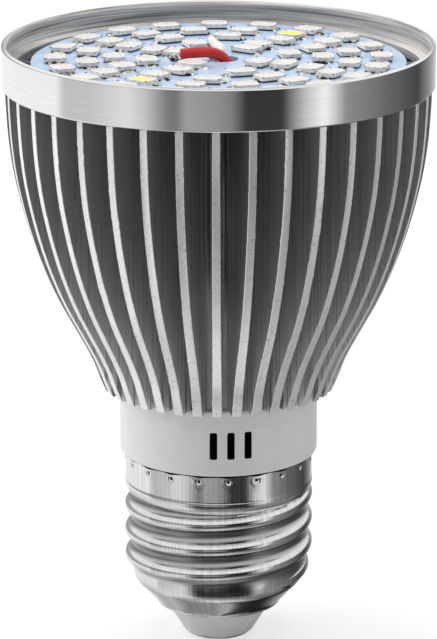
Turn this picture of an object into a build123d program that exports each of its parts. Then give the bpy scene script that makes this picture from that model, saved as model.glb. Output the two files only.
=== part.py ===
"""Grow light bulb with an E27 screw base.

Millimetres. +Z runs from the base up to the light face, and the origin is the
lowest point of the centre contact, on the axis. -Y is the side with the vent slots.
"""
import math
import os

from build123d import *

# Overall
collar_dia = 59.0
total_height = 85.0

# Rim ring
collar_height = 5.85
rim_wall = 0.7
ledge_depth = 3.0
ledge_width = 1.1
rim_chamfer = 0.25
ring_fit = 0.05

# Heat sink
fin_count = 38
fin_tip_thickness = 1.0
fin_root_thickness = 1.36
hub_radius = 12.4
hub_bore = 10.6
fin_bottom_radius = 16.1
fin_setback = 0.42
sink_bottom = 36.7
sink_drop = 4.25
fin_front_turn = -0.6

# LED board
board_gap = 2.2
board_thickness = 1.5
pad_thickness = 0.2
pad_setback = 0.3
wire_hole_dia = 4.1
wire_hole_at = (0.7, 0.9)

# LED package
led_length = 3.5
led_width = 2.8
led_height = 0.75
led_wall = 0.35
led_window_depth = 0.4
led_fill_gap = 0.05
fillet_length = 0.8
fillet_width = 2.2
fillet_rise = 0.34
fillet_toe = 0.08

# Neck housing
neck_radius = 13.76
neck_inner = 12.2
neck_bottom = 27.3
neck_edge = 0.38
shoulder_thickness = 1.6
sleeve_play = 0.1
sleeve_wall = 1.2
sleeve_top = 56.0
spigot_play = 0.05
spigot_wall = 1.35
spigot_bottom = 12.0
floor_thickness = 1.2
slot_width = 1.04
slot_height = 3.85
slot_bottom = 29.83
slot_angles = (-2.9, 7.1, 17.1)
groove_play = 0.1

# Screw shell, E27
thread_crest = 13.2
thread_pitch = 3.629
thread_depth = 1.095
thread_arc = 1.025
crest_right = 20.9
shell_thickness = 0.35
shell_bore = 11.65
band_radius = 13.08
band_bottom = 21.9
band_rise = 0.9
cone_top = (12.05, 8.4)
lip_radius = 8.8
lip_bottom = 4.9
lip_bore = 7.7
dimple_count = 20
dimple_first = 6.0
dimple_height = 26.2
dimple_radius = 0.42
dimple_depth = 0.3

# Base
insulator_tip_radius = 4.95
insulator_lip_gap = 0.15
insulator_top = 9.6
insulator_bore_play = 0.05
contact_radius = 4.65
contact_height = 0.6
contact_edge = 0.45
shank_radius = 1.55
rivet_radius = 2.3
rivet_height = 0.6

# Driver board
driver_thickness = 1.2
driver_half_width = 9.55
driver_rise = 1.0

# Driver parts: sizes across, off the board and up, then the height of the foot
core_size = (12.4, 8.0, 9.0)
core_leg = 1.8
core_middle = 3.2
core_foot = 25.6
film_size = (10.0, 4.6, 8.4)
film_foot = 26.0
bulk_radius = 3.15
output_radius = 2.5
can_height = 11.0
can_foot = 38.0
bridge_size = (7.8, 2.4, 4.0)
bridge_foot = 20.0
chip_size = (4.9, 1.5, 3.9)
chip_foot = 40.0
diode_size = (2.6, 2.2, 4.3)
diode_foot = 46.5
resistor_radius = 1.2
resistor_height = 6.4
resistor_foot = 15.8
resistor_x = 5.2

# Leads
lead_radius = 0.65
lead_lift = 0.02
lead_tail = 3.6
mains_tail = 18.6
neutral_x = -6.5
neutral_z = 11.0
red_end_at = (-5.15, -0.25)
white_end_at = (-0.95, 9.6)

sink_top = total_height - sink_drop
driver_top = sleeve_top + driver_rise
board_bottom = sink_top + pad_thickness
board_top = board_bottom + board_thickness
led_top = board_top + led_height
ledge_z = total_height - ledge_depth
collar_radius = collar_dia / 2
collar_bottom = total_height - collar_height
wall_inner = collar_radius - rim_wall
ledge_inner = wall_inner - ledge_width
board_radius = ledge_inner - board_gap
pad_radius = board_radius - pad_setback
fin_top_radius = collar_radius - fin_setback
fin_seat_radius = wall_inner - ring_fit
sleeve_radius = hub_bore - sleeve_play
sleeve_bore = sleeve_radius - sleeve_wall
spigot_radius = band_radius - shell_thickness - spigot_play
spigot_low_radius = shell_bore - spigot_play * 2
spigot_low_bore = spigot_low_radius - spigot_wall
step_top = band_bottom + shell_thickness / 2
step_low = step_top - band_rise
spigot_step = step_low + 2 * spigot_play
driver_bottom = spigot_bottom + floor_thickness
thread_root = thread_crest - thread_depth

# Bell outline of the fins: share of the way out and share of the way up
bell_shares = [
    (0.0616, 0.0448),
    (0.1271, 0.0991),
    (0.2196, 0.1580),
    (0.3197, 0.2146),
    (0.5008, 0.3184),
    (0.6471, 0.4222),
    (0.7627, 0.5259),
    (0.8552, 0.6297),
    (0.9284, 0.7358),
    (0.9723, 0.8396),
    (0.9954, 0.9481),
]
fins_end = collar_bottom - ring_fit
bell = [(fin_bottom_radius, sink_bottom)]
for out, up in bell_shares:
    bell.append((
        fin_bottom_radius + out * (fin_top_radius - fin_bottom_radius),
        sink_bottom + up * (fins_end - sink_bottom)))
bell.append((fin_top_radius, fins_end))

# Rings of LEDs: share of the board's radius, and each angle counter-clockwise from +X
ring_a = (0.8706, [1.5 + 18 * i for i in range(20)])
ring_b = (0.7098, [11.0 + 22.5 * i for i in range(16)])
ring_c = (0.5569, [a + half for half in (0, 180) for a in (0, 25, 53.2, 84.5, 118.3, 150.2)])
ring_d = (0.3882, [12.4, 56.7, 153.2, 192.4, 236.7, 287.5, 333.2])

# LEDs between the rings: share of the radius, angle, and turn of the long side
single_leds = [
    (0.3679, 110.27, 109.3),
    (0.2174, 230.86, 320.0),
    (0.2515, 329.04, 59.0),
    (0.2687, 54.80, 324.7),
    (0.2589, 149.01, 59.0),
]
warm_pair = (2, 10)


def turned(points):
    """A solid of revolution about Z from (radius, height) points."""
    face = Plane.XZ * make_face(Polyline(*points, close=True))
    return revolve(face, Axis.Z)


def tube(outer, inner, z0, z1):
    return turned([(inner, z0), (outer, z0), (outer, z1), (inner, z1)])


def block(x0, x1, y0, y1, z0, z1):
    return Pos((x0 + x1) / 2, (y0 + y1) / 2, (z0 + z1) / 2) * Box(x1 - x0, y1 - y0, z1 - z0)


def wire(points, radius, bends):
    """A round lead along straight runs that are joined by tangent arcs."""
    path = FilletPolyline(*points, radius=bends)
    start = Vector(*points[0])
    way = Vector(*points[1]) - start
    section = Plane(origin=start, z_dir=way) * Circle(radius)
    body = sweep(section, path=path)
    print("lead length %.2f bends %s volume ratio %.4f"
          % (path.length, bends, body.volume / (path.length * math.pi * radius ** 2)))
    return body


def lay_out():
    """Place of every LED: x, y and the turn of its long side."""
    spots = [(share, a, a + 90) for share, angles in (ring_a, ring_b, ring_c, ring_d) for a in angles]
    places = []
    for share, a, turn in spots + single_leds:
        t = math.radians(a)
        places.append((share * board_radius * math.cos(t), share * board_radius * math.sin(t), turn))
    return places


# Heat sink: the extruded fin section turned down to the bell outline
section = Circle(hub_radius)
reach = collar_radius
fin_slope = (fin_root_thickness - fin_tip_thickness) / (reach - hub_radius)
inner = hub_radius - 1.0
half_in = (fin_root_thickness + fin_slope) / 2
half_out = fin_tip_thickness / 2
fin = make_face(Polyline((inner, -half_in), (reach, -half_out), (reach, half_out), (inner, half_in), close=True))
fins = [Rot(0, 0, 270 + fin_front_turn + 360 * i / fin_count) * fin for i in range(fin_count)]
section = section + fins
section = section - Circle(hub_bore)
extrusion = Pos(0, 0, sink_bottom) * extrude(section, amount=sink_top - sink_bottom)
outline = Spline(*bell)
seat = Polyline(
    bell[-1],
    (fin_seat_radius, bell[-1][1]),
    (fin_seat_radius, sink_top),
    (0, sink_top),
    (0, sink_bottom),
    bell[0],
)
bell_body = revolve(Plane.XZ * make_face([outline, seat]), Axis.Z)
heat_sink = extrusion & bell_body

# Rim ring: thin wall, a ledge that lies on the fins and a skirt round their tips
rim_ring = turned([
    (wall_inner, collar_bottom),
    (collar_radius - rim_chamfer, collar_bottom),
    (collar_radius, collar_bottom + rim_chamfer),
    (collar_radius, total_height - rim_chamfer),
    (collar_radius - rim_chamfer, total_height),
    (wall_inner + 0.2, total_height),
    (wall_inner - 0.05, total_height - 0.35),
    (wall_inner - 0.05, total_height - 0.75),
    (wall_inner, total_height - 0.8),
    (wall_inner, ledge_z),
    (ledge_inner, ledge_z),
    (ledge_inner, sink_top),
    (wall_inner, sink_top),
])

# LED board and the conducting pad under it
hole = Pos(wire_hole_at[0], wire_hole_at[1], board_bottom) * Cylinder(wire_hole_dia / 2, 3 * board_thickness)
led_board = Pos(0, 0, (board_bottom + board_top) / 2) * Cylinder(board_radius, board_thickness) - hole
thermal_pad = tube(pad_radius, hub_bore, sink_top, board_bottom)

# LED packages
window = (led_length - 2 * led_wall, led_width - 2 * led_wall)
frame_one = Pos(0, 0, board_top + led_height / 2) * Box(led_length, led_width, led_height)
frame_one -= Pos(0, 0, led_top - led_window_depth / 2) * Box(window[0], window[1], led_window_depth)
fill_height = led_window_depth - led_fill_gap
fill_one = Pos(0, 0, led_top - led_window_depth + fill_height / 2) * Box(window[0], window[1], fill_height)
wedge = make_face(Polyline(
    (led_length / 2, board_top),
    (led_length / 2 + fillet_length, board_top),
    (led_length / 2 + fillet_length, board_top + fillet_toe),
    (led_length / 2, board_top + fillet_rise),
    close=True))
joint_one = Pos(0, fillet_width / 2, 0) * extrude(Plane.XZ * wedge, amount=fillet_width)
frames = []
fills = []
warm_fills = []
joints = []
for i, (x, y, turn) in enumerate(lay_out()):
    at = Pos(x, y, 0) * Rot(0, 0, turn)
    frames.append(at * frame_one)
    is_warm = i - len(ring_a[1]) in warm_pair
    (warm_fills if is_warm else fills).append(at * fill_one)
    joints.append(at * joint_one)
    joints.append(at * Rot(0, 0, 180) * joint_one)

# Neck housing: outer wall, shoulder, driver sleeve and the spigot in the shell
neck_top = sink_bottom
shoulder = neck_top - shoulder_thickness
neck = turned([
    (spigot_low_bore, spigot_bottom),
    (spigot_low_radius, spigot_bottom),
    (spigot_low_radius, spigot_step),
    (spigot_radius, spigot_step + band_rise),
    (spigot_radius, neck_bottom),
    (neck_radius - neck_edge, neck_bottom),
    (neck_radius - 0.11, neck_bottom + 0.11),
    (neck_radius, neck_bottom + neck_edge),
    (neck_radius, neck_top - neck_edge),
    (neck_radius - 0.11, neck_top - 0.11),
    (neck_radius - neck_edge, neck_top),
    (sleeve_radius, neck_top),
    (sleeve_radius, sleeve_top),
    (sleeve_bore, sleeve_top),
    (sleeve_bore, shoulder),
    (neck_inner, shoulder),
    (neck_inner, neck_bottom + 1.3),
    (spigot_radius - spigot_wall, neck_bottom),
    (spigot_radius - spigot_wall, spigot_step + 1.3),
    (spigot_low_bore, spigot_step),
])
floor_z = spigot_bottom + floor_thickness / 2
neck += Pos(0, 0, floor_z) * Cylinder(spigot_low_bore + 0.4, floor_thickness)
neck -= Pos(0, 0, floor_z) * Cylinder(2.8, floor_thickness * 2)
half = driver_thickness / 2
lead_front = -half - lead_radius - lead_lift
neck -= Pos(neutral_x, lead_front, floor_z) * Cylinder(lead_radius + 0.2, floor_thickness * 2)
slot_mid = slot_bottom + slot_height / 2
slot_tool = Pos(0, -(neck_radius + neck_inner) / 2, slot_mid) * Box(slot_width, 4.0, slot_height)
slot_tool = fillet(slot_tool.edges().filter_by(Axis.Y), 0.25)
for side in (0, 180):
    for a in slot_angles:
        neck -= Rot(0, 0, side + a) * slot_tool
rail = driver_half_width + groove_play
neck -= block(-rail, rail, -driver_thickness / 2 - groove_play, driver_thickness / 2 + groove_play,
              shoulder - 1, sleeve_top + 1)
crimp = turned([
    (spigot_radius - 0.6, dimple_height - 0.35),
    (spigot_radius + 0.1, dimple_height - 0.7),
    (spigot_radius + 0.1, dimple_height + 0.7),
    (spigot_radius - 0.6, dimple_height + 0.35),
])
neck_housing = neck - crimp

# Screw shell: turned body, rolled thread and crimp dimples
flank = math.asin(thread_pitch / 2 / (2 * thread_arc))
sink_angle = math.radians(10)
core_radius = thread_root + 0.055
foot_reach = thread_crest - shell_bore + 0.2
cone_dr = cone_top[0] - lip_radius
lip_top = lip_bottom + shell_thickness
inner_cone_top = cone_top[1] + 0.25
shell_core = turned([
    (shell_bore, inner_cone_top),
    (lip_radius - 0.24, lip_top),
    (lip_bore, lip_top),
    (lip_bore, lip_bottom + 0.1),
    (lip_bore + 0.1, lip_bottom),
    (lip_radius - 0.25, lip_bottom),
    (lip_radius - 0.05, lip_bottom + 0.1),
    (lip_radius, lip_bottom + 0.3),
    (cone_top[0] - 0.25, cone_top[1] - 0.15),
    (cone_top[0], cone_top[1] + 0.2),
    (core_radius, cone_top[1] + 0.7),
    (core_radius, band_bottom - band_rise),
    (band_radius, band_bottom),
    (band_radius, neck_bottom - 0.15),
    (band_radius - shell_thickness, neck_bottom - 0.15),
    (band_radius - shell_thickness, step_top),
    (shell_bore, step_low),
])


def ridge_face(radius, angle, height):
    """The rolled ridge seen along the thread: a crest arc between two hollow flanks."""
    crest_mid = radius - thread_arc
    hollow_mid = radius - thread_depth + thread_arc

    def crest_point(b):
        return (crest_mid + thread_arc * math.cos(b), thread_arc * math.sin(b))

    def flank_point(b):
        return (hollow_mid - thread_arc * math.cos(b), thread_pitch / 2 - thread_arc * math.sin(b))

    def mirrored(p):
        return (p[0], -p[1])

    mid = (flank + sink_angle) / 2
    crest = ThreePointArc(crest_point(-flank), crest_point(0), crest_point(flank))
    upper = ThreePointArc(crest_point(flank), flank_point(mid), flank_point(sink_angle))
    lower = ThreePointArc(crest_point(-flank), mirrored(flank_point(mid)), mirrored(flank_point(sink_angle)))
    top = flank_point(sink_angle)
    foot_r = radius - foot_reach
    foot = Polyline(top, (foot_r, top[1]), (foot_r, -top[1]), (top[0], -top[1]))
    return Pos(0, 0, height) * Rot(0, 0, angle) * (Plane.XZ * make_face([crest, upper, lower, foot]))


def helix_ridge(start_angle, turns, start_z):
    foot_z = start_z - thread_pitch * turns
    foot_angle = start_angle - 360 * turns
    path = Pos(0, 0, foot_z) * Rot(0, 0, foot_angle) * Helix(
        pitch=thread_pitch, height=thread_pitch * turns, radius=thread_crest)
    return sweep(ridge_face(thread_crest, foot_angle, foot_z), path=path, is_frenet=True)


def run_out(start_angle, degrees, start_z, sign):
    """The ridge sinking into the shell over the given turn."""
    sections = []
    for f in (0, 0.25, 0.5, 0.75, 1):
        sections.append(ridge_face(
            thread_crest - (thread_depth + 0.05) * f ** 1.5,
            start_angle + sign * degrees * f,
            start_z + sign * thread_pitch * degrees * f / 360))
    return loft(sections)


top_angle = 360.0
turns_full = 2.85
crest_bottom = crest_right - thread_pitch * turns_full
thread = helix_ridge(top_angle, turns_full, crest_right)
upper_end = run_out(top_angle, 80, crest_right, 1)
lower_end = run_out(top_angle - 360 * turns_full, 100, crest_bottom, -1)
trim = turned([
    (0, 0),
    (shell_bore + 0.15, 0),
    (shell_bore + 0.15, step_low),
    (band_radius - shell_thickness + 0.15, step_top),
    (band_radius - shell_thickness + 0.15, neck_bottom),
    (0, neck_bottom),
])
shell = shell_core
for piece in (thread, upper_end, lower_end):
    shell = shell + (piece - trim)
for k in range(dimple_count):
    spot = Rot(0, 0, 270 + dimple_first + 18 * k) * Pos(band_radius + 0.12, 0, dimple_height)
    shell -= spot * Sphere(dimple_radius)
screw_shell = shell

# Base insulator and centre contact
contact_top = contact_height
lip_slope = (lip_bore - 0.1 - insulator_tip_radius) / (lip_bottom - contact_top)
hold = insulator_lip_gap
shank_bore = shank_radius + insulator_bore_play
base_insulator = turned([
    (shank_bore, contact_top),
    (insulator_tip_radius, contact_top),
    (lip_bore - 0.1 - lip_slope * hold, lip_bottom - hold),
    (lip_bore - 0.1, lip_bottom),
    (lip_bore - 0.1, lip_top),
    (lip_radius - 0.24 - 0.06, lip_top),
    (shell_bore - 0.06, inner_cone_top),
    (shell_bore - 0.06, insulator_top),
    (shank_bore, insulator_top),
])
edge = contact_edge
centre_contact = turned([
    (0, 0),
    (contact_radius - edge - 0.35, 0),
    (contact_radius - edge, 0.06),
    (contact_radius - 0.15, 0.22),
    (contact_radius, contact_top - 0.1),
    (contact_radius, contact_top),
    (shank_radius, contact_top),
    (shank_radius, insulator_top),
    (rivet_radius, insulator_top),
    (rivet_radius, insulator_top + 0.2),
    (rivet_radius - 0.4, insulator_top + rivet_height),
    (0, insulator_top + rivet_height),
])

# Driver board and its parts: -Y is its front


def mounted(x, size, foot, side):
    """A block that stands on the driver board's front (side -1) or back (side 1)."""
    width, depth, height = size
    near = side * half
    far = side * (half + depth)
    return block(x - width / 2, x + width / 2, min(near, far), max(near, far), foot, foot + height)


def can(x, radius):
    """A capacitor can with rounded ends, lying against the front of the board."""
    body = Pos(x, -half - radius, can_foot + can_height / 2) * Cylinder(radius, can_height)
    return fillet(body.edges(), 0.4)


driver_board = block(-driver_half_width, driver_half_width, -half, half, driver_bottom, driver_top)
core_width, core_depth, core_height = core_size
core_mid_z = core_foot + core_height / 2
core_mid_y = -half - core_depth / 2
core_gap = core_height - 2 * core_leg
leg_depth = core_depth * 0.45
around = Pos(0, core_mid_y, core_mid_z)
transformer_core = mounted(0, core_size, core_foot, -1)
transformer_core -= around * Box(core_width - 2 * core_leg, 2 * core_depth, core_gap)
transformer_core += around * Box(core_middle, leg_depth, core_gap + 0.2)
winding = Box(core_width - 2 * core_leg - 0.2, core_depth + 0.2, core_gap - 0.2)
transformer_winding = Pos(0, -0.2, 0) * around * winding
transformer_winding -= around * Box(core_middle, leg_depth, core_height)
film_capacitor = mounted(0, film_size, film_foot, 1)
film_capacitor = fillet(film_capacitor.edges().filter_by(Axis.Y), 0.6)
bulk_capacitor = can(-bulk_radius - 1.05, bulk_radius)
output_capacitor = can(output_radius + 1.9, output_radius)
bridge_rectifier = mounted(0, bridge_size, bridge_foot, -1)
controller_chip = mounted(0, chip_size, chip_foot, 1)
freewheel_diode = mounted(0, diode_size, diode_foot, 1)
resistor_mid = resistor_foot + resistor_height / 2
fusible_resistor = Pos(resistor_x, half + resistor_radius, resistor_mid) * Cylinder(resistor_radius, resistor_height)

# Leads of the driver
hole_x, hole_y = wire_hole_at
pad_lift = board_top + lead_radius + lead_lift
over_hole = pad_lift + 0.42
lead_start = driver_top - lead_tail
clear_of_driver = driver_top + 2.5
under_board = sink_top - 5.0
insulator_rivet = insulator_top + rivet_height
red_route = [
    (1.6, lead_front, lead_start),
    (1.6, lead_front, clear_of_driver),
    (hole_x + 0.4, hole_y - 0.8, under_board),
    (hole_x + 0.4, hole_y - 0.8, over_hole),
    (hole_x - 2.1, hole_y - 1.2, over_hole),
    (red_end_at[0], red_end_at[1], pad_lift),
]
white_route = [
    (-1.6, lead_front, lead_start),
    (-1.6, lead_front, clear_of_driver),
    (hole_x - 0.1, hole_y + 0.9, under_board),
    (hole_x - 0.1, hole_y + 0.9, over_hole),
    (hole_x - 0.9, hole_y + 4.1, pad_lift + 0.3),
    (white_end_at[0], white_end_at[1], pad_lift),
]
live_route = [
    (0.0, lead_front, mains_tail),
    (0.0, lead_front, driver_bottom - 0.6),
    (0.0, 0.0, driver_bottom - 1.8),
    (0.0, 0.0, insulator_rivet + 0.02),
]
neutral_end = -(shell_bore - 0.75)
neutral_route = [
    (neutral_x, lead_front, mains_tail),
    (neutral_x, lead_front, neutral_z),
    (neutral_end, lead_front, neutral_z),
]
red_lead = wire(red_route, lead_radius, 1.05)
white_lead = wire(white_route, lead_radius, 1.3)
live_lead = wire(live_route, lead_radius, 0.9)
neutral_lead = wire(neutral_route, lead_radius, 0.9)


def solder_drop(x, y, z, radius, height):
    """A low dome of solder."""
    big = (radius ** 2 + height ** 2) / (2 * height)
    dome = Pos(x, y, z + height - big) * Sphere(big)
    return dome & (Pos(x, y, z + height) * Cylinder(radius + 1, 2 * height))


solder_red = solder_drop(red_end_at[0] - 0.6, red_end_at[1] - 0.1, board_top, 0.9, 0.85) - red_lead
solder_white = solder_drop(white_end_at[0] - 0.08, white_end_at[1] + 0.5, board_top, 0.9, 0.8) - white_lead
neutral_mid = (neutral_end - shell_bore) / 2
neutral_joint = Pos(neutral_mid, lead_front, neutral_z) * Rot(0, 90, 0) * Cylinder(0.9, 1.2)
neutral_joint = neutral_joint & (Pos(0, 0, neutral_z) * Cylinder(shell_bore - 0.01, 4)) - neutral_lead
live_joint = solder_drop(0, 0, insulator_rivet, 1.3, 0.7) - live_lead

nodes = {
    "heat_sink": heat_sink,
    "rim_ring": rim_ring,
    "thermal_pad": thermal_pad,
    "led_board": led_board,
    "led_frames": Compound(children=frames),
    "led_windows_clear": Compound(children=fills),
    "led_windows_warm": Compound(children=warm_fills),
    "led_solder": Compound(children=joints),
    "red_lead": red_lead,
    "white_lead": white_lead,
    "solder_red": solder_red,
    "solder_white": solder_white,
    "neck_housing": neck_housing,
    "screw_shell": screw_shell,
    "base_insulator": base_insulator,
    "centre_contact": centre_contact,
    "driver_board": driver_board,
    "transformer_core": transformer_core,
    "transformer_winding": transformer_winding,
    "film_capacitor": film_capacitor,
    "bulk_capacitor": bulk_capacitor,
    "output_capacitor": output_capacitor,
    "bridge_rectifier": bridge_rectifier,
    "controller_chip": controller_chip,
    "freewheel_diode": freewheel_diode,
    "fusible_resistor": fusible_resistor,
    "live_lead": live_lead,
    "neutral_lead": neutral_lead,
    "live_joint": live_joint,
    "neutral_joint": neutral_joint,
}
os.makedirs("parts", exist_ok=True)
for name, shape in nodes.items():
    box = shape.bounding_box()
    low = [round(v, 2) for v in box.min]
    high = [round(v, 2) for v in box.max]
    print("%-20s solids %3d valid %s vol %9.2f %s %s"
          % (name, len(shape.solids()), shape.is_valid, shape.volume, low, high))
    export_step(shape, "parts/%s.step" % name)
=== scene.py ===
# %% [markdown]
# # A grow light bulb, dressed in Blender
#
# The bulb has three parts that catch the eye: a finned aluminium body turned to a
# bell, a round board full of small light emitters in its mouth, and a rolled screw
# shell at its foot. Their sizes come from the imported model, which is loaded first and
# never moved. Everything made here stands in the same place, in metres.

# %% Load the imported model
import math

import bmesh
import bpy
from mathutils import Matrix, Vector, noise


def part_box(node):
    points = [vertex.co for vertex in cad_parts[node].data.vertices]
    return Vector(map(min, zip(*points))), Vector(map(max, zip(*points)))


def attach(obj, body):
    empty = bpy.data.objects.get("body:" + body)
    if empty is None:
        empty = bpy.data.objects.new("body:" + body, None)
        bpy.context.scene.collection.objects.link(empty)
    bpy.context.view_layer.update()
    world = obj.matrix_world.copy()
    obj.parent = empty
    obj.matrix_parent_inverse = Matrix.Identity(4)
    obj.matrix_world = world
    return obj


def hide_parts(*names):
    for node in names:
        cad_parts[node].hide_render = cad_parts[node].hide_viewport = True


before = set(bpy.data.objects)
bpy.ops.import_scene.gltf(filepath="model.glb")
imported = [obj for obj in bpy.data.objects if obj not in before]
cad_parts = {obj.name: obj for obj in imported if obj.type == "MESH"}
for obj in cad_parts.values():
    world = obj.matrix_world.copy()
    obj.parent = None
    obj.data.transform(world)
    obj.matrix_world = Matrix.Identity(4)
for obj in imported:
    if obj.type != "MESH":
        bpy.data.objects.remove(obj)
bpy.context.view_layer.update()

# %% [markdown]
# ## Units, colours and nodes
#
# The drawings of a bulb are in millimetres and Blender works in metres, so one named
# factor turns one into the other. Colours are written as the hex values that a paint
# chart gives, and one function turns them to the linear values that a shader needs.
# One small function adds a shader node with its settings and links.

# %% Small helpers
MM = 0.001
print("one millimetre is", MM, "units")


def linear(colour):
    """An sRGB hex colour as linear RGBA."""
    channels = [int(colour[i:i + 2], 16) / 255 for i in (1, 3, 5)]
    return tuple(c / 12.92 if c <= 0.04045 else ((c + 0.055) / 1.055) ** 2.4 for c in channels) + (1.0,)


def add_node(tree, kind, links=None, values=None, stops=None, **settings):
    """Adds one shader node with its settings, socket values, ramp stops and links."""
    node = tree.nodes.new("ShaderNode" + kind)
    for key, value in settings.items():
        setattr(node, key, value)
    for key, value in (values or {}).items():
        node.inputs[key].default_value = value
    for i, (place, colour) in enumerate(stops or []):
        elements = node.color_ramp.elements
        element = elements[i] if i < 2 else elements.new(place)
        element.position = place
        element.color = colour
    for key, source in (links or {}).items():
        tree.links.new(source, node.inputs[key])
    return node


def grey(value):
    return (value, value, value, 1.0)


def new_material(name, **values):
    """A Principled material, with its constants set on the shader's own sockets."""
    material = bpy.data.materials.new(name)
    material.use_nodes = True
    shader = material.node_tree.nodes["Principled BSDF"]
    for key, value in values.items():
        shader.inputs[key.replace("_", " ")].default_value = value
    return material, material.node_tree, shader


# %% [markdown]
# ## Making a piece
#
# A turned part is a line of points spun round an axis, as on a lathe. A part that
# changes round its girth, such as a row of fins or a rolled thread, starts as a
# circle of points that is extruded row by row while each point is put where the part
# needs it. Both are left with their faces pointing outwards.

# %% Mesh helpers
MERGE = 0.0005 * MM


def finish_piece(name, bm, materials, replaced, sharp=35):
    """Turns a bmesh into a piece that rides on the bulb and stands for CAD nodes."""
    bmesh.ops.remove_doubles(bm, verts=bm.verts, dist=MERGE)
    bmesh.ops.recalc_face_normals(bm, faces=bm.faces)
    mesh = bpy.data.meshes.new(name)
    bm.to_mesh(mesh)
    bm.free()
    for material in materials:
        mesh.materials.append(material)
    mesh.shade_smooth()
    mesh.set_sharp_from_angle(angle=math.radians(sharp))
    piece = bpy.data.objects.new(name, mesh)
    bpy.context.scene.collection.objects.link(piece)
    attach(piece, "root")
    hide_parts(*replaced)
    triangles = sum(len(p.vertices) - 2 for p in mesh.polygons)
    print("%-18s %6d triangles" % (name, triangles))
    return piece


def spin_profile(bm, points, steps):
    """Turns a closed line of (radius, height) points in millimetres about the Z axis."""
    corners = [bm.verts.new((r * MM, 0, z * MM)) for r, z in points]
    edges = [bm.edges.new((a, b)) for a, b in zip(corners, corners[1:] + corners[:1])]
    bmesh.ops.spin(bm, geom=corners + edges, cent=(0, 0, 0), axis=(0, 0, 1), dvec=(0, 0, 0),
                   angle=math.tau, steps=steps, use_merge=True, use_duplicate=False)


def extrude_rows(bm, columns, rows, place):
    """Extrudes a circle row by row. place(column, row) gives each point in millimetres."""
    column = bm.verts.layers.int.new("column")
    verts = bmesh.ops.create_circle(bm, segments=columns, radius=1)["verts"]
    for k, vert in enumerate(verts):
        vert[column] = k
        vert.co = Vector(place(k, rows[0])) * MM
    edges = list(bm.edges)
    faces = []
    for row in rows[1:]:
        made = bmesh.ops.extrude_edge_only(bm, edges=edges)["geom"]
        edges = [e for e in made if isinstance(e, bmesh.types.BMEdge)
                 and all(v in made for v in e.verts)]
        new_verts = [v for v in made if isinstance(v, bmesh.types.BMVert)]
        faces.append([f for f in made if isinstance(f, bmesh.types.BMFace)])
        for vert in new_verts:
            vert.co = Vector(place(vert[column], row)) * MM
    return column, faces


# %% [markdown]
# ## The camera
#
# The picture is taken with a long lens from a little above, so the bulb's sides
# hardly converge and the board shows as a flat oval. The lens comes from the width
# that the bulb fills in a frame of 437 by 639 pixels.

# %% Camera
camera_back, camera_up, camera_tilt = -0.4761, 0.18404, 73.806
camera_data = bpy.data.cameras.new("long lens")
camera = bpy.data.objects.new("camera", camera_data)
bpy.context.scene.collection.objects.link(camera)
camera.location = (0, camera_back, camera_up)
camera.rotation_euler = (math.radians(camera_tilt), 0, 0)
camera_data.sensor_width = 36
camera_data.lens = 201.38
camera_data.clip_start = 0.01
bpy.context.scene.camera = camera
print("lens in mm:", round(camera_data.lens, 1), "looking down", round(90 - camera_tilt, 1), "degrees")

# %% [markdown]
# ## The studio
#
# A product table is lit by large soft boxes with black cards between them. Polished
# metal shows little more than what stands around it, so these bands of light and
# dark are what makes the ring and the shell look like metal. The world holds them by
# compass direction, for reflections only. The camera sees plain white, and matt
# surfaces get an even soft light.

# %% World
scene = bpy.context.scene
scene.view_settings.view_transform = "Standard"
world = bpy.data.worlds.new("studio")
scene.world = world
world.use_nodes = True
tree = world.node_tree
tree.nodes.clear()
white = (1, 1, 1, 1)

# Compass direction in degrees from the camera, towards the right, and brightness
studio_bands = [
    (-180, 0.95), (-94, 1.0), (-89, 0.62), (-70, 0.64), (-48, 0.86), (-38, 0.72), (-27, 0.30),
    (-22, 0.24), (-17, 0.50), (0, 0.40), (7, 0.30), (14, 0.05), (34, 0.05), (46, 0.72), (57, 1.0),
    (70, 0.28), (100, 0.14), (130, 0.06), (146, 0.26), (166, 0.62), (180, 0.95),
]
coordinates = add_node(tree, "TexCoord")
direction = add_node(tree, "SeparateXYZ", {"Vector": coordinates.outputs["Generated"]})
away = add_node(tree, "Math", {0: direction.outputs["Y"]}, {1: -1.0}, operation="MULTIPLY")
turn = add_node(tree, "Math", {0: direction.outputs["X"], 1: away.outputs[0]}, operation="ARCTAN2")
compass = add_node(tree, "MapRange", {"Value": turn.outputs[0]},
                   {"From Min": -math.pi, "From Max": math.pi})
bands = add_node(tree, "ValToRGB", {"Fac": compass.outputs[0]},
                 stops=[((a + 180) / 360, grey(v)) for a, v in studio_bands])
# Height runs from 0 straight down, over 0.5 at the horizon, to 1 straight up. The cards end below the
# lamps overhead, and the table shows under them, with one dark card lying on it
height = add_node(tree, "MapRange", {"Value": direction.outputs["Z"]}, {"From Min": -1, "From Max": 1})
overhead = add_node(tree, "ValToRGB", {"Fac": height.outputs[0]},
                    stops=[(0.54, grey(0)), (0.62, grey(1))])
lamp_bands = [(0.60, 0.45), (0.65, 0.97), (0.80, 0.95), (0.93, 0.85), (0.96, 0.5), (0.985, 0.6),
              (1.0, 0.7)]
lamp_light = add_node(tree, "ValToRGB", {"Fac": height.outputs[0]},
                      stops=[(a, grey(v)) for a, v in lamp_bands])
under = add_node(tree, "ValToRGB", {"Fac": height.outputs[0]},
                 stops=[(0.18, grey(1)), (0.32, grey(0))])
table_bands = [(-180, 0.55), (-150, 0.5), (-110, 0.8), (-30, 0.85), (0, 0.85), (60, 0.7), (118, 0.45),
               (136, 0.05), (153, 0.05), (162, 0.6), (180, 0.55)]
sheet = add_node(tree, "ValToRGB", {"Fac": compass.outputs[0]},
                 stops=[((a + 180) / 360, grey(v)) for a, v in table_bands])
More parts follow.
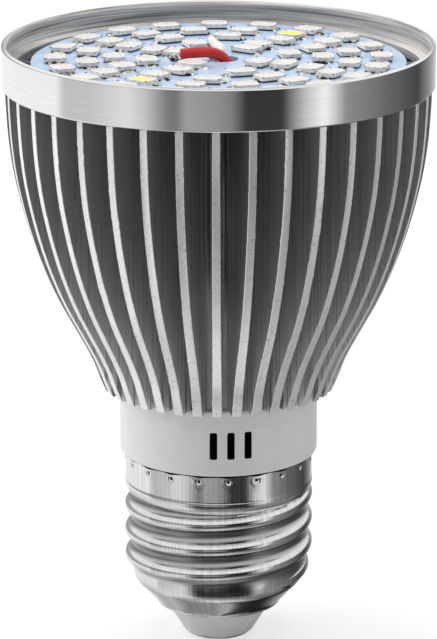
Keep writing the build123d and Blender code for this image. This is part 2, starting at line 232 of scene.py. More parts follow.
lower = add_node(tree, "Mix", {"Factor": under.outputs["Color"], 6: bands.outputs["Color"],
                               7: sheet.outputs["Color"]}, data_type="RGBA")
# In front, at the left and at the right, the cards keep their own share of that light at each height
front_heights = [(0.0, 1.0), (0.03, 0.95), (0.067, 0.4), (0.165, 0.15), (0.235, 0.05), (0.29, 0.05),
                 (0.33, 0.85), (0.35, 1.0), (0.385, 1.0), (0.43, 0.12), (0.47, 0.15), (0.51, 0.4),
                 (0.57, 1.0)]
left_heights = [(0.0, 0.6), (0.06, 0.5), (0.10, 1.0), (0.40, 1.0), (0.44, 0.45), (0.50, 0.4),
                (0.56, 0.5)]
right_heights = [(0.0, 0.9), (0.04, 0.6), (0.07, 0.3), (0.16, 0.4), (0.27, 0.7), (0.33, 1.0), (0.6, 1.0)]
front_light, left_light, right_light = [
    add_node(tree, "ValToRGB", {"Fac": height.outputs[0]}, stops=[(a, grey(v)) for a, v in heights])
    for heights in (front_heights, left_heights, right_heights)]
left_side = add_node(tree, "MapRange", {"Value": compass.outputs[0]},
                     {"From Min": 130 / 360, "From Max": 148 / 360, "To Min": 1.0, "To Max": 0.0})
right_side = add_node(tree, "MapRange", {"Value": compass.outputs[0]},
                      {"From Min": 223 / 360, "From Max": 238 / 360})
turned_left = add_node(tree, "Mix", {"Factor": left_side.outputs[0], 6: front_light.outputs["Color"],
                                     7: left_light.outputs["Color"]}, data_type="RGBA")
ruled = add_node(tree, "Mix", {"Factor": right_side.outputs[0], 6: turned_left.outputs[2],
                               7: right_light.outputs["Color"]}, data_type="RGBA")
lined = add_node(tree, "Mix", {6: lower.outputs[2], 7: ruled.outputs[2]}, {"Factor": 1.0},
                 data_type="RGBA", blend_type="MULTIPLY")
reflected = add_node(tree, "Mix", {"Factor": overhead.outputs["Color"], 6: lined.outputs[2],
                                   7: lamp_light.outputs["Color"]}, data_type="RGBA")
path = add_node(tree, "LightPath")
mirror_ray = add_node(tree, "Math", {0: path.outputs["Is Glossy Ray"],
                                     1: path.outputs["Is Transmission Ray"]}, operation="MAXIMUM")
soft_light = grey(0.42)
seen = add_node(tree, "Mix", {"Factor": mirror_ray.outputs[0], 7: reflected.outputs[2]},
                {6: soft_light}, data_type="RGBA")
shown = add_node(tree, "Mix", {"Factor": path.outputs["Is Camera Ray"], 6: seen.outputs[2]},
                 {7: white}, data_type="RGBA")
background = add_node(tree, "Background", {"Color": shown.outputs[2]}, {"Strength": 1.0})
add_node(tree, "OutputWorld", {"Surface": background.outputs[0]})
print("studio bands:", len(studio_bands))

# %% [markdown]
# The table is a plain pale sheet. Its colour for the camera is nearly white, and the
# rest of its shade comes from the lamps, so the bulb's soft shadow still shows.

# %% Floor
bm = bmesh.new()
half_table = 3.0
bmesh.ops.create_grid(bm, x_segments=1, y_segments=1, size=half_table)
mesh = bpy.data.meshes.new("table")
bm.to_mesh(mesh)
bm.free()
table = bpy.data.objects.new("table", mesh)
scene.collection.objects.link(table)
material, tree, shader = new_material("matt white paper", Roughness=0.9)
shader.inputs["Base Color"].default_value = linear("#e6e6e6")
path = add_node(tree, "LightPath")
lit = add_node(tree, "BsdfDiffuse", values={"Color": grey(0.45)})
glow = add_node(tree, "Emission", values={"Color": white, "Strength": 0.62})
pale = add_node(tree, "AddShader", {0: lit.outputs[0], 1: glow.outputs[0]})
mixed = add_node(tree, "MixShader", {0: path.outputs["Is Camera Ray"], 1: shader.outputs[0],
                                     2: pale.outputs[0]})
tree.links.new(mixed.outputs[0], tree.nodes["Material Output"].inputs["Surface"])
mesh.materials.append(material)
table.visible_glossy = False
print("table:", 2 * half_table, "m square")

# %% [markdown]
# Two large lamps stand at the sides, the left one stronger and a little behind, and a
# third hangs overhead. They light the matt plastic. Metal already mirrors the world's
# bands, so the lamps stay out of its reflections.

# %% Lamps
aim = Vector((0, 0, 0.04))
for name, place, size, watts in (
    ("left", (-0.75, 0.12, 0.35), 0.7, 4.4),
    ("right", (0.80, 0.30, 0.30), 0.6, 1.7),
    ("overhead", (0.0, 0.1, 0.9), 0.8, 5.0),
):
    lamp_data = bpy.data.lights.new("softbox " + name, "AREA")
    lamp_data.size = size
    lamp_data.energy = watts
    lamp = bpy.data.objects.new("softbox " + name, lamp_data)
    lamp.location = place
    lamp.rotation_euler = (Vector(place) - aim).to_track_quat("Z", "Y").to_euler()
    lamp.visible_glossy = False
    lamp.visible_camera = False
    scene.collection.objects.link(lamp)
    print("softbox %-9s %.1f W" % (name, watts))

# %% [markdown]
# ## Aluminium: the fins
#
# The body is an extrusion, so its walls carry fine straight lines from the die, all
# along the axis. It is bare metal, dulled by handling. The lines come from a noise
# that is stretched along Z, about 0.4 mm apart across the wall. Lines could be painted
# on by hand, but a stretched noise never repeats and costs nothing.
#
# Two functions lay out such patterns in millimetres: one straight along the axes, for
# flat walls, and one round the girth, for the screw shell. A third gives a point's
# distance from the bulb's axis and its height, to keep a finish to one place.

# %% Patterns on metal
SHELL_GIRTH = 13.0


def streaks(tree, scale, detail=3.0):
    """Noise on Object coordinates in millimetres, with its own scale along each axis."""
    place = add_node(tree, "TexCoord")
    mapping = add_node(tree, "Mapping", {"Vector": place.outputs["Object"]}, {"Scale": scale})
    return add_node(tree, "TexNoise", {"Vector": mapping.outputs[0]},
                    {"Scale": 1000.0, "Detail": detail, "Roughness": 0.6})


def round_streaks(tree, across, along, detail=3.0):
    """Noise that runs round the shell's girth, so its lines climb the wall and cross its bends."""
    place = add_node(tree, "TexCoord")
    flat = add_node(tree, "VectorMath", {0: place.outputs["Object"]}, {1: (1, 1, 0)}, operation="MULTIPLY")
    unit = add_node(tree, "VectorMath", {0: flat.outputs["Vector"]}, operation="NORMALIZE")
    girth = add_node(tree, "VectorMath", {0: unit.outputs["Vector"]}, {"Scale": SHELL_GIRTH * across},
                     operation="SCALE")
    climb = add_node(tree, "VectorMath", {0: place.outputs["Object"]}, {1: (0, 0, along / MM)},
                     operation="MULTIPLY")
    both = add_node(tree, "VectorMath", {0: girth.outputs["Vector"], 1: climb.outputs["Vector"]},
                    operation="ADD")
    return add_node(tree, "TexNoise", {"Vector": both.outputs["Vector"]},
                    {"Scale": 1.0, "Detail": detail, "Roughness": 0.6})


def from_axis(tree):
    """A point's distance from the bulb's axis and its height, both in metres."""
    place = add_node(tree, "TexCoord")
    flat = add_node(tree, "VectorMath", {0: place.outputs["Object"]}, {1: (1, 1, 0)}, operation="MULTIPLY")
    out = add_node(tree, "VectorMath", {0: flat.outputs["Vector"]}, operation="LENGTH")
    level = add_node(tree, "SeparateXYZ", {"Vector": place.outputs["Object"]})
    return out.outputs["Value"], level.outputs["Z"]


# %% Extruded aluminium
extruded, tree, shader = new_material("extruded aluminium", Metallic=0.5)
lines = streaks(tree, (2.6, 2.6, 0.02), 4.0)
out, level = from_axis(tree)
# Painted light and shade: the colour is lightest at the groove floor and darker towards the fins' edges, to
# lift the shade deep in the grooves
depth_in = add_node(tree, "MapRange", {"Value": out},
                    {"From Min": 12.4 * MM, "From Max": 27.0 * MM})
painted_groove_light = add_node(tree, "ValToRGB", {"Fac": depth_in.outputs[0]},
                stops=[(0.0, linear("#ffffff")), (1.0, linear("#a2a2a1")), (0.12, linear("#f4f4f3")),
                       (0.5, linear("#d8d7d6"))])
shade = add_node(tree, "ValToRGB", {"Fac": lines.outputs["Fac"]},
                 stops=[(0.34, grey(0.8)), (0.60, grey(1.0))])
# Painted reflections: at the foot and near the groove floor the colour runs in strong black and white
# streaks along the axis, standing in for the metal's reflections there
foot_streak_noise = streaks(tree, (1.5, 1.5, 0.03), 3.0)
deep = add_node(tree, "ValToRGB", {"Fac": foot_streak_noise.outputs["Fac"]},
                stops=[(0.43, grey(0.09)), (0.52, grey(1.0))])
foot = add_node(tree, "MapRange", {"Value": level},
                {"From Min": 37 * MM, "From Max": 46 * MM, "To Min": 0.8, "To Max": 0.0})
floor = add_node(tree, "MapRange", {"Value": out},
                 {"From Min": 12.5 * MM, "From Max": 13.4 * MM, "To Min": 0.85, "To Max": 0.0})
either = add_node(tree, "Math", {0: foot.outputs[0], 1: floor.outputs[0]}, operation="MAXIMUM")
painted_reflection_mix = add_node(tree, "Mix", {"Factor": either.outputs[0], 6: shade.outputs["Color"],
                                7: deep.outputs["Color"]}, data_type="RGBA")
tone = add_node(tree, "Mix", {6: painted_groove_light.outputs["Color"], 7: painted_reflection_mix.outputs[2]}, {"Factor": 1.0},
                data_type="RGBA", blend_type="MULTIPLY")
polish = add_node(tree, "MapRange", {"Value": lines.outputs["Fac"]}, {"To Min": 0.18, "To Max": 0.4})
relief = add_node(tree, "Bump", {"Height": lines.outputs["Fac"]}, {"Strength": 0.4, "Distance": 0.02 * MM})
tree.links.new(tone.outputs[2], shader.inputs["Base Color"])
tree.links.new(polish.outputs[0], shader.inputs["Roughness"])
tree.links.new(relief.outputs[0], shader.inputs["Normal"])

# %% [markdown]
# The outer edges of the fins are cut on the lathe afterwards. The tool chatters from
# fin to fin, so the fresh edges are bright, a little rough and full of small pits.

# %% Turned aluminium
turned_edge, tree, shader = new_material("turned aluminium", Metallic=0.65, Roughness=0.28)
pits = streaks(tree, (2.6, 2.6, 2.6), 4.0)
tone = add_node(tree, "ValToRGB", {"Fac": pits.outputs["Fac"]},
                stops=[(0.30, linear("#cfcfcf")), (0.44, linear("#ffffff"))])
relief = add_node(tree, "Bump", {"Height": pits.outputs["Fac"]}, {"Strength": 0.45, "Distance": 0.05 * MM})
tree.links.new(tone.outputs["Color"], shader.inputs["Base Color"])
tree.links.new(relief.outputs[0], shader.inputs["Normal"])

# %% [markdown]
# The ring is turned and then brushed as it spins, which leaves fine rings round it.
# They are drawn 0.1 mm apart, and spread the reflections up and down but not sideways.

# %% Brushed aluminium
brushed, tree, shader = new_material("brushed aluminium", Metallic=1.0, Roughness=0.13,
                                     Anisotropic=0.75, Anisotropic_Rotation=0.25)
rings = streaks(tree, (0.03, 0.03, 9.0), 4.0)
tone = add_node(tree, "ValToRGB", {"Fac": rings.outputs["Fac"]},
                stops=[(0.3, linear("#efeeec")), (0.7, linear("#fbfaf9"))])
relief = add_node(tree, "Bump", {"Height": rings.outputs["Fac"]},
                  {"Strength": 0.05, "Distance": 0.006 * MM})
around = add_node(tree, "Tangent", direction_type="RADIAL", axis="Z")
tree.links.new(tone.outputs["Color"], shader.inputs["Base Color"])
tree.links.new(relief.outputs[0], shader.inputs["Normal"])
tree.links.new(around.outputs[0], shader.inputs["Tangent"])

# %% [markdown]
# Inside, the ring is only bored, so the wall is duller and greyer, with coarser rings.

# %% Bored aluminium
bored, tree, shader = new_material("bored aluminium", Metallic=0.35, Roughness=0.4)
rings = streaks(tree, (0.05, 0.05, 3.2), 4.0)
tone = add_node(tree, "ValToRGB", {"Fac": rings.outputs["Fac"]},
                stops=[(0.36, linear("#8f8d8b")), (0.60, linear("#f2efec"))])
relief = add_node(tree, "Bump", {"Height": rings.outputs["Fac"]}, {"Strength": 0.5, "Distance": 0.05 * MM})
tree.links.new(tone.outputs["Color"], shader.inputs["Base Color"])
tree.links.new(relief.outputs[0], shader.inputs["Normal"])

# %% [markdown]
# ## The heat sink
#
# It is one extruded section of 38 fins round a tube, turned to the bell outline. One
# loop of points follows that section: the groove floor, a small fillet, the fin's
# side, its two corners and its edge. The loop is extruded up the bulb, and at each
# height its fin tips are put on the bell. The burrs that the lathe leaves are small
# random shifts of the corners.

# %% Heat sink shape
sink_low, sink_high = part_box("heat_sink")
sink_bottom, sink_top = sink_low.z / MM, sink_high.z / MM
fin_top_radius = 29.08
fin_bottom_radius = 16.1
rim_radius = 29.5
fin_count = 38
# The front is at 270 degrees, and the nearest fin stands a little to its left
fin_turn = 270 - 0.6
hub_radius, hub_bore = 12.4, 10.6
root_half, tip_half = 0.68, 0.5
fillet, edge_bevel = 0.28, 0.07
wall_start, inner_share = 0.3, 0.42
chatter, burr_size, burr_limit = 0.035, 0.22, 0.25
ring_bottom = 79.10
seat_radius = 28.75
# The bell's outline as shares of the way out and of the way up
bell_shares = [
    (0.0, 0.0), (0.0616, 0.0448), (0.1271, 0.0991), (0.2196, 0.1580), (0.3197, 0.2146),
    (0.5008, 0.3184), (0.6471, 0.4222), (0.7627, 0.5259), (0.8552, 0.6297), (0.9284, 0.7358),
    (0.9723, 0.8396), (0.9954, 0.9481), (1.0, 1.0),
]


def bell_radius(z):
    """Radius of the fins' edges at a height, on a smooth line through the shares."""
    up = min(max((z - sink_bottom) / (ring_bottom - sink_bottom), 0.0), 1.0)
    i = max(k for k in range(len(bell_shares) - 1) if bell_shares[k][1] <= up)

    def slope(k):
        low, high = bell_shares[max(k - 1, 0)], bell_shares[min(k + 1, len(bell_shares) - 1)]
        return (high[0] - low[0]) / (high[1] - low[1])

    (a, start), (b, end) = bell_shares[i], bell_shares[i + 1]
    span = end - start
    t = (up - start) / span
    out = ((2 * t ** 3 - 3 * t ** 2 + 1) * a + (t ** 3 - 2 * t ** 2 + t) * span * slope(i)
           + (3 * t ** 2 - 2 * t ** 3) * b + (t ** 3 - t ** 2) * span * slope(i + 1))
    return fin_bottom_radius + out * (fin_top_radius - fin_bottom_radius)


# One side of a fin from the middle of its groove to the middle of its edge. A number is
# a share of the way out along the fin's wall
SIDE = ("floor", "fillet", "rise", 0.12, 0.4, 0.72, 0.94, "corner", "edge", "edge in")
PER_FIN = 2 * len(SIDE)


def fin_outline(column, row):
    """A point of the section in millimetres, for one column of points and one row."""
    kind, z = row
    fin, k = divmod(column, PER_FIN)
    side = -1
    if k > len(SIDE):
        k, side = PER_FIN - k, 1
    tip = seat_radius if kind == "seat" else bell_radius(z)
    step = math.radians(360 / fin_count)
    centre = math.radians(fin_turn) + fin * step
    half_at = root_half + (tip_half - root_half) * (tip - hub_radius) / (rim_radius - hub_radius)
    part = SIDE[k] if k < len(SIDE) else "middle"
    if part == "floor":
        radius, across = hub_radius, None
    elif part == "fillet":
        radius, across = hub_radius + 0.02, root_half + fillet
    elif part == "rise":
        radius, across = hub_radius + fillet, root_half
    elif part == "corner":
        radius, across = tip - edge_bevel, half_at
    elif part == "edge":
        radius, across = tip, half_at - edge_bevel
    elif part == "edge in":
        radius, across = tip, half_at * inner_share
    elif part == "middle":
        radius, across = tip, 0.0
    else:
        radius = hub_radius + wall_start + part * (tip - hub_radius - wall_start)
        across = root_half + (tip_half - root_half) * (radius - hub_radius) / (rim_radius - hub_radius)
    on_edge = part in ("edge", "edge in", "middle")
    # The tool's chatter shifts the corners, and leaves a burr here and there
    if kind == "bell" and (part == "corner" or on_edge):
        spot = Vector((fin * 13.7, side * 3.1, z))
        rough = noise.noise(spot * 1.9)
        burr = max(0.0, noise.noise(spot * 1.3 + Vector((5, 0, 0))) - burr_limit)
        if part in ("corner", "edge"):
            across += chatter * rough + burr_size * burr
        else:
            radius -= 0.02 + 0.03 * noise.noise(Vector((fin * 9.1, across * 3, z * 2.4)))
        radius = min(radius, tip)
    if across is None:
        angle, out = centre + side * step / 2, radius
    else:
        angle = centre + side * math.atan2(across, radius)
        out = radius if on_edge else math.hypot(across, radius)
    if kind == "bore":
        out = hub_bore
    return (out * math.cos(angle), out * math.sin(angle), z)


levels = 122
rows = [("bell", sink_bottom + (ring_bottom - sink_bottom) * i / levels) for i in range(levels + 1)]
rows += [("seat", ring_bottom + 0.01), ("seat", sink_top), ("bore", sink_top), ("bore", sink_bottom)]
rows += [rows[0]]
bm = bmesh.new()
column, face_rows = extrude_rows(bm, fin_count * PER_FIN, rows, fin_outline)
first_edge = SIDE.index("corner")
for made in face_rows[:levels]:
    for face in made:
        places = [v[column] % PER_FIN for v in face.verts]
        face.material_index = int(all(first_edge <= p <= PER_FIN - first_edge for p in places))
finish_piece("heat_sink_fins", bm, [extruded, turned_edge], ["heat_sink"], sharp=30)

# %% [markdown]
# ## The rim ring
#
# A thin ring closes the top of the fins and carries a ledge inside. It is a lathe
# part, so it is spun from its section, with fine bevels on both outer edges that
# catch the light as bright lines.

# %% Rim ring
# The pairs of points close together above and below the outer wall keep its shading straight
ring_section = [
    (28.80, 79.15), (29.22, 79.15), (29.33, 79.19), (29.42, 79.28), (29.5, 79.42), (29.5, 79.45),
    (29.5, 84.67), (29.5, 84.70), (29.45, 84.83), (29.36, 84.93), (29.24, 84.99), (29.1, 85.0),
    (28.97, 84.97), (28.80, 84.75), (28.76, 84.62), (28.76, 84.27), (28.80, 84.20), (28.80, 82.06),
    (28.74, 82.0), (27.76, 82.0), (27.70, 81.94), (27.70, 80.75), (28.80, 80.75),
]
ring_steps = 256
bored_inside = 28.95
bm = bmesh.new()
spin_profile(bm, ring_section, ring_steps)
for face in bm.faces:
    face.material_index = int(face.calc_center_median().xy.length < bored_inside * MM)
finish_piece("rim_ring_turned", bm, [brushed, bored], ["rim_ring"])

# %% [markdown]
# ## The LED board
#
# The board is a disc of aluminium under pale blue lacquer, with a hole near the
# middle for the wires. Two loops of edges are filled together, so that the hole stays
# open, and the face is extruded to the board's thickness.
#
# Lacquer, resin and plastic are never quite one colour. One function makes them all:
# a soft noise moves the colour between two near shades.

# %% Mottled finishes
def mottled(name, dark, light, spread, detail=3.0, low=0.3, high=0.7, **values):
    """A material whose colour drifts a little between two shades, over spots 1/spread mm wide."""
    material, tree, shader = new_material(name, **values)
    drift = streaks(tree, spread, detail)
    tone = add_node(tree, "ValToRGB", {"Fac": drift.outputs["Fac"]},
                    stops=[(low, linear(dark)), (high, linear(light))])
    tree.links.new(tone.outputs["Color"], shader.inputs["Base Color"])
    return material


lacquer = mottled("pale blue board lacquer", "#b2cdec", "#c3daf3", (0.35, 0.35, 0.35), 2.0,
                  Roughness=0.3, Coat_Weight=0.3)

# %% Board
board_low, board_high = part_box("led_board")
board_radius = board_high.x / MM
board_bottom, board_top = board_low.z / MM, board_high.z / MM
hole_at, hole_radius = (0.7, 0.9), 2.05
bm = bmesh.new()
bmesh.ops.create_circle(bm, segments=128, radius=board_radius * MM)
bmesh.ops.create_circle(bm, segments=48, radius=hole_radius * MM,
                        matrix=Matrix.Translation((hole_at[0] * MM, hole_at[1] * MM, 0)))
made = bmesh.ops.triangle_fill(bm, edges=list(bm.edges), use_beauty=True)["geom"]
faces = [f for f in made if isinstance(f, bmesh.types.BMFace)]
bmesh.ops.translate(bm, verts=bm.verts, vec=(0, 0, board_bottom * MM))
grown = bmesh.ops.extrude_face_region(bm, geom=faces)["geom"]
lifted = [v for v in grown if isinstance(v, bmesh.types.BMVert)]
bmesh.ops.translate(bm, verts=lifted, vec=(0, 0, (board_top - board_bottom) * MM))
finish_piece("led_board_disc", bm, [lacquer], ["led_board"])

# %% [markdown]
# ## The light emitters
#
# Sixty moulded packages stand in four rings with a few between them. One is modelled
# and copied to every place. The body is a box whose top face is inset and pushed
# down, which leaves the white frame and its sloping cup. A smaller foot in dark metal
# is drawn out below it, so that the frame casts a thin shadow line on the board; the
# foot's near-black colour is painted shade under the frame as well.

# %% Package materials
resin = mottled("moulded white resin", "#d8d3ce", "#f8f5f1", (2.4, 2.4, 2.4), low=0.34, high=0.62,
                Roughness=0.42)
clear_gel = mottled("clear silicone", "#e2ddd8", "#f5f2ee", (0.9, 0.9, 0.9), Roughness=0.18)
yellow_gel = mottled("phosphor silicone", "#f5ea3a", "#fbf36a", (1.2, 1.2, 1.2), Roughness=0.3)
# The leadframe is painted near black: painted shade under each package's frame
leadframe_painted_shade = mottled("painted_shade leadframe", "#17181b", "#33353a", (1.5, 1.5, 1.5),
                    Metallic=0.6, Roughness=0.5)
# Solder is bright, and its colour runs between near black and white in patches: painted reflections of the
# dark and bright room round it
tin, tree, shader = new_material("tin solder", Metallic=1.0, Roughness=0.12)
painted_reflection_noise = streaks(tree, (1.1, 1.1, 1.1))
tone = add_node(tree, "ValToRGB", {"Fac": painted_reflection_noise.outputs["Fac"]},
                stops=[(0.44, linear("#232528")), (0.55, linear("#f7f7f6"))])
relief = add_node(tree, "Bump", {"Height": painted_reflection_noise.outputs["Fac"]}, {"Strength": 0.8, "Distance": 0.15 * MM})
tree.links.new(tone.outputs["Color"], shader.inputs["Base Color"])
tree.links.new(relief.outputs[0], shader.inputs["Normal"])

# %% Where the emitters stand
# Each ring has its share of the board's radius and its angles in degrees. A single one
# has its share, its angle and the way it faces
ring_a = (0.8706, [1.5 + 18 * i for i in range(20)])
ring_b = (0.7098, [11.0 + 22.5 * i for i in range(16)])
ring_c = (0.5569, [a + half for half in (0, 180) for a in (0, 25, 53.2, 84.5, 118.3, 150.2)])
ring_d = (0.3882, [12.4, 56.7, 153.2, 192.4, 236.7, 287.5, 333.2])
singles = [(0.3679, 110.27, 109.3), (0.2174, 230.86, 320.0), (0.2515, 329.04, 59.0),
           (0.2687, 54.80, 324.7), (0.2589, 149.01, 59.0)]
yellow_ones = (22, 30)
spots = [(share, a, a + 90) for share, angles in (ring_a, ring_b, ring_c, ring_d) for a in angles]
spots += singles
places = []
for share, angle, facing in spots:
    t = math.radians(angle)
    radius = share * board_radius * MM
    shift = Matrix.Translation((radius * math.cos(t), radius * math.sin(t), 0))
    places.append(shift @ Matrix.Rotation(math.radians(facing), 4, "Z"))
print("emitters:", len(places), "yellow:", yellow_ones)


def copies(one, where):
    """A bmesh that holds a copy of one small shape at every place."""
    small = bpy.data.meshes.new("one")
    one.to_mesh(small)
    one.free()
    every = bmesh.new()
    for matrix in where:
        before = len(every.verts)
        every.from_mesh(small)
        every.verts.ensure_lookup_table()
        bmesh.ops.transform(every, matrix=matrix, verts=every.verts[before:])
    bpy.data.meshes.remove(small)
    return every


# %% Package bodies
led_length, led_width, led_height = 3.5, 2.8, 0.75
led_gap = 0.22
led_corner, led_wall, led_foot_inset = 0.1, 0.32, 0.2
cup_depth, cup_taper = 0.4, (0.86, 0.82, 1)
led_top = board_top + led_height


def block(size, height):
    """A bmesh that holds one box of a size in millimetres, with its middle at a height."""
    made = bmesh.new()
    length, width, thickness = size
    bmesh.ops.create_cube(made, size=1.0, matrix=Matrix.Translation((0, 0, height * MM))
                          @ Matrix.Diagonal((length * MM, width * MM, thickness * MM, 1)))
    return made


one = block((led_length, led_width, led_height - led_gap), board_top + (led_height + led_gap) / 2)
upright = [e for e in one.edges if abs(e.verts[0].co.z - e.verts[1].co.z) > 0.1 * MM]
bmesh.ops.bevel(one, geom=upright, offset=led_corner * MM, offset_type="OFFSET", segments=2,
                profile=0.5, affect="EDGES", material=-1)
one.faces.ensure_lookup_table()
top = [f for f in one.faces if f.normal.z > 0.9]
bmesh.ops.inset_region(one, faces=top, thickness=led_wall * MM, depth=0)
top = [max((f for f in one.faces if f.normal.z > 0.9), key=lambda f: -f.calc_center_median().xy.length)]
cup = bmesh.ops.extrude_face_region(one, geom=top)["geom"]
bmesh.ops.delete(one, geom=top, context="FACES")
cup_verts = [v for v in cup if isinstance(v, bmesh.types.BMVert)]
bmesh.ops.translate(one, verts=cup_verts, vec=(0, 0, -cup_depth * MM))
bmesh.ops.scale(one, verts=cup_verts, vec=cup_taper)
foot = [f for f in one.faces if f.normal.z < -0.9]
bmesh.ops.inset_region(one, faces=foot, thickness=led_foot_inset * MM, depth=0)
foot = [f for f in one.faces if f.normal.z < -0.9]
foot = [max(foot, key=lambda f: f.calc_area())]
grown = bmesh.ops.extrude_face_region(one, geom=foot)["geom"]
bmesh.ops.delete(one, geom=foot, context="FACES")
foot_verts = [v for v in grown if isinstance(v, bmesh.types.BMVert)]
bmesh.ops.translate(one, verts=foot_verts, vec=(0, 0, -led_gap * MM))
# The foot's faces take the near-black leadframe, painted shade under the frame
for face in one.faces:
    face.material_index = int(face.calc_center_median().z < (board_top + led_gap + 0.01) * MM)
finish_piece("led_packages", copies(one, places), [resin, leadframe_painted_shade], ["led_frames"])

# %% [markdown]
# Silicone fills each cup to just under its lip. Two of the sixty windows hold yellow
# phosphor, and the rest look clear, so they are two pieces with a finish each.

# %% Windows
window_size, window_sunk = (2.7, 2.02, 0.34), 0.22
clear_places = [m for i, m in enumerate(places) if i not in yellow_ones]
yellow_places = [m for i, m in enumerate(places) if i in yellow_ones]
finish_piece("led_windows", copies(block(window_size, led_top - window_sunk), clear_places), [clear_gel],
             ["led_windows_clear"])
finish_piece("led_windows_yellow", copies(block(window_size, led_top - window_sunk), yellow_places),
             [yellow_gel], ["led_windows_warm"])

# %% [markdown]
# Solder wets the two ends of each package and sets as a low rounded bead. One bead is
# half of a flattened ball, cut off where it meets the package and the board.

# %% Solder beads
bead_size = (0.8, 1.05, 0.33)
one = bmesh.new()
bmesh.ops.create_uvsphere(one, u_segments=12, v_segments=8, radius=1.0)
bmesh.ops.scale(one, verts=one.verts, vec=[v * MM for v in bead_size])
for side in ((0, 0, 1), (1, 0, 0)):
    cut = bmesh.ops.bisect_plane(one, geom=one.verts[:] + one.edges[:] + one.faces[:],
                                 plane_co=(0, 0, 0), plane_no=side, clear_inner=True)["geom_cut"]
    bmesh.ops.edgeloop_fill(one, edges=[e for e in cut if isinstance(e, bmesh.types.BMEdge)])
bmesh.ops.translate(one, verts=one.verts, vec=(led_length / 2 * MM, 0, board_top * MM))
half_turn = Matrix.Rotation(math.pi, 4, "Z")
both_ends = [m @ end for m in places for end in (Matrix.Identity(4), half_turn)]
finish_piece("led_solder_beads", copies(one, both_ends), [tin], ["led_solder"], sharp=50)

# %% [markdown]
# ## The screw shell
#
# The shell is thin sheet, deep drawn to a cup, rolled to the screw thread and crimped
# round the neck. It changes round its girth, so it is made from a circle of points
# extruded down the outside and back up the inside. The thread is a crest arc and a
# hollow arc that follow the helix, and it sinks into the wall at both ends.
#
# The plating is bright and smooth. Under it the steel shows how it was made: the deep
# drawing left fine upright lines, and the rolls polished the crests of the thread.

# %% Nickel plating
nickel, tree, shader = new_material("nickel plated sheet", Metallic=1.0)
draw = round_streaks(tree, 3.2, 0.04, 4.0)
out, level = from_axis(tree)
# Heights are shares of 30 mm. Drawn lines show on the straight band at the top and on the foot, and
# rolling wiped them off the thread
up_share = add_node(tree, "MapRange", {"Value": level}, {"From Min": 0.0, "From Max": 30 * MM})
drawn = add_node(tree, "ValToRGB", {"Fac": up_share.outputs[0]},
                 stops=[(0.265, grey(0.0)), (0.75, grey(1.0)), (0.30, grey(1.0)), (0.36, grey(0.8)),
                        (0.42, grey(0.14)), (0.70, grey(0.14))])
grain = round_streaks(tree, 5.0, 2.0, 2.0)
blend = add_node(tree, "Mix", {2: draw.outputs["Fac"], 3: grain.outputs["Fac"]}, {0: 0.35},
                 data_type="FLOAT")
centred = add_node(tree, "Math", {0: blend.outputs[0]}, {1: 0.5}, operation="SUBTRACT")
strength = add_node(tree, "Math", {0: centred.outputs[0], 1: drawn.outputs["Color"]}, operation="MULTIPLY")
tone = add_node(tree, "ValToRGB", {"Fac": draw.outputs["Fac"]},
                stops=[(0.3, linear("#d2d0ce")), (0.7, linear("#f2f1f0"))])
polish = add_node(tree, "MapRange", {"Value": strength.outputs[0]},
                  {"From Min": -0.2, "From Max": 0.2, "To Min": 0.04, "To Max": 0.16})
relief = add_node(tree, "Bump", {"Height": strength.outputs[0]},
                  {"Strength": 0.5, "Distance": 0.03 * MM})
# Rolling polishes the crests and leaves the hollows between them rougher; their darker grey colour is
# painted shade
sunk = add_node(tree, "MapRange", {"Value": out},
                {"From Min": 12.15 * MM, "From Max": 12.7 * MM, "To Min": 1.0, "To Max": 0.0})
above_bowl = add_node(tree, "MapRange", {"Value": level}, {"From Min": 10.4 * MM, "From Max": 11.2 * MM})
hollow = add_node(tree, "Math", {0: sunk.outputs[0], 1: above_bowl.outputs[0]}, operation="MULTIPLY")
painted_hollow_shade = add_node(tree, "Mix", {"Factor": hollow.outputs[0], 6: tone.outputs["Color"]},
                  {7: linear("#9a9998")}, data_type="RGBA")
rough = add_node(tree, "Math", {0: hollow.outputs[0], 2: polish.outputs[0]}, {1: 0.22},
                 operation="MULTIPLY_ADD")
tree.links.new(painted_hollow_shade.outputs[2], shader.inputs["Base Color"])
tree.links.new(rough.outputs[0], shader.inputs["Roughness"])
tree.links.new(relief.outputs[0], shader.inputs["Normal"])

# %% [markdown]
# The sheet is cut and punched after plating. Its top edge and the middle of each small
# punch mark are painted near black, as painted shade in the gap under the neck and in
# the shadowed holes.

# %% Painted shade on the cut edge and the punch marks
edge_and_mark_shade = mottled("cut steel in painted shade", "#0c0c0d", "#232324", (1.8, 1.8, 1.8), Metallic=0.4, Roughness=0.6)

# %% Shell sizes
crest, pitch, depth, arc = 13.2, 3.629, 1.095, 1.025
crest_right = 20.9
turns_down = 2.85
# The ridge sinks into the wall over these many degrees at its upper and lower end
run_out_top, run_out_foot = 80, 100
band_radius, band_bottom, shell_top = 13.08, 21.9, 27.15
core = crest - depth
# Under the thread the wall bends in like a bowl, and above it comes a low bead: height and radius
bowl = [(8.15, 11.52), (8.4, 11.70), (8.6, 11.80), (8.9, 11.92), (9.2, 11.995), (9.9, 12.07), (10.8, core)]
shoulder = [(21.0, core), (band_bottom, 12.92), (22.2, 13.03), (22.45, 13.11), (22.7, 13.16),
            (22.95, 13.17), (23.08, 13.15), (23.3, band_radius)]
# Twenty small punch marks hold the neck, each with a slightly raised rim
first_mark, mark_step, mark_height = 276, 18, 26.3
mark_radius, mark_rim, mark_depth, rim_rise = 0.36, 1.0, 0.45, 0.018
# The cut edge at the top stands this far under the sheet's height, waves, and dips at each mark
edge_drop, edge_wave, edge_dip, dip_width = 0.1, 0.08, 0.14, 0.9
columns_round = 480


# %% Shell wall
def off_mark(angle):
    """Degrees from the nearest punch mark."""
    return (angle - first_mark + mark_step / 2) % mark_step - mark_step / 2


